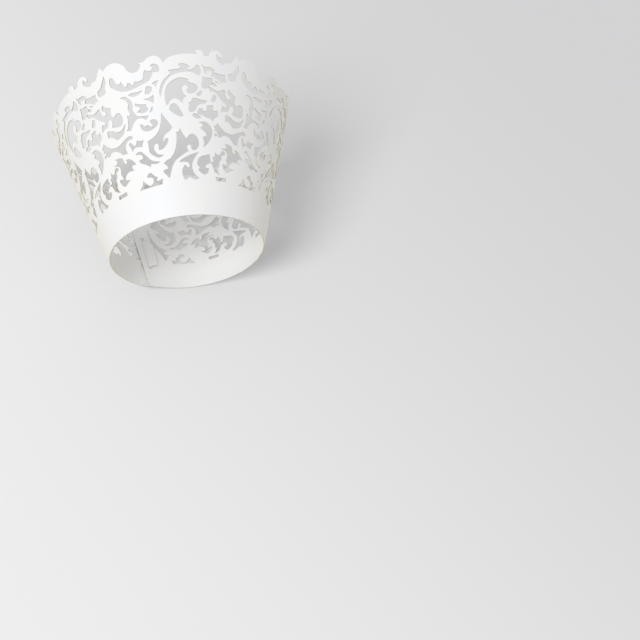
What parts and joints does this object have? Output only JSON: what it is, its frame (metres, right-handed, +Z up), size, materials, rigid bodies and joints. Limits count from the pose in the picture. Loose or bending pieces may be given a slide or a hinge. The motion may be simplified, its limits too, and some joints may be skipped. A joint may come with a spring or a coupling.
{
  "type": "cupcake wrapper",
  "caption": "Lace-cut card cone with a plain band at its small end, a scalloped rim and a tab-and-slit seam, open at both ends.",
  "frame": {"origin": "centre of the small end, on the surface it stands on", "axes": "+Z up the cone's axis towards the scalloped rim, -Y towards the front of the lace, the seam at +Y and a little -X"},
  "size_m": [0.0793, 0.0786, 0.0515],
  "materials": {
    "pearl_card": "satin pearl"
  },
  "bodies": {
    "root": {"wrapper_sheet": "pearl_card"}
  },
  "joints": []
}
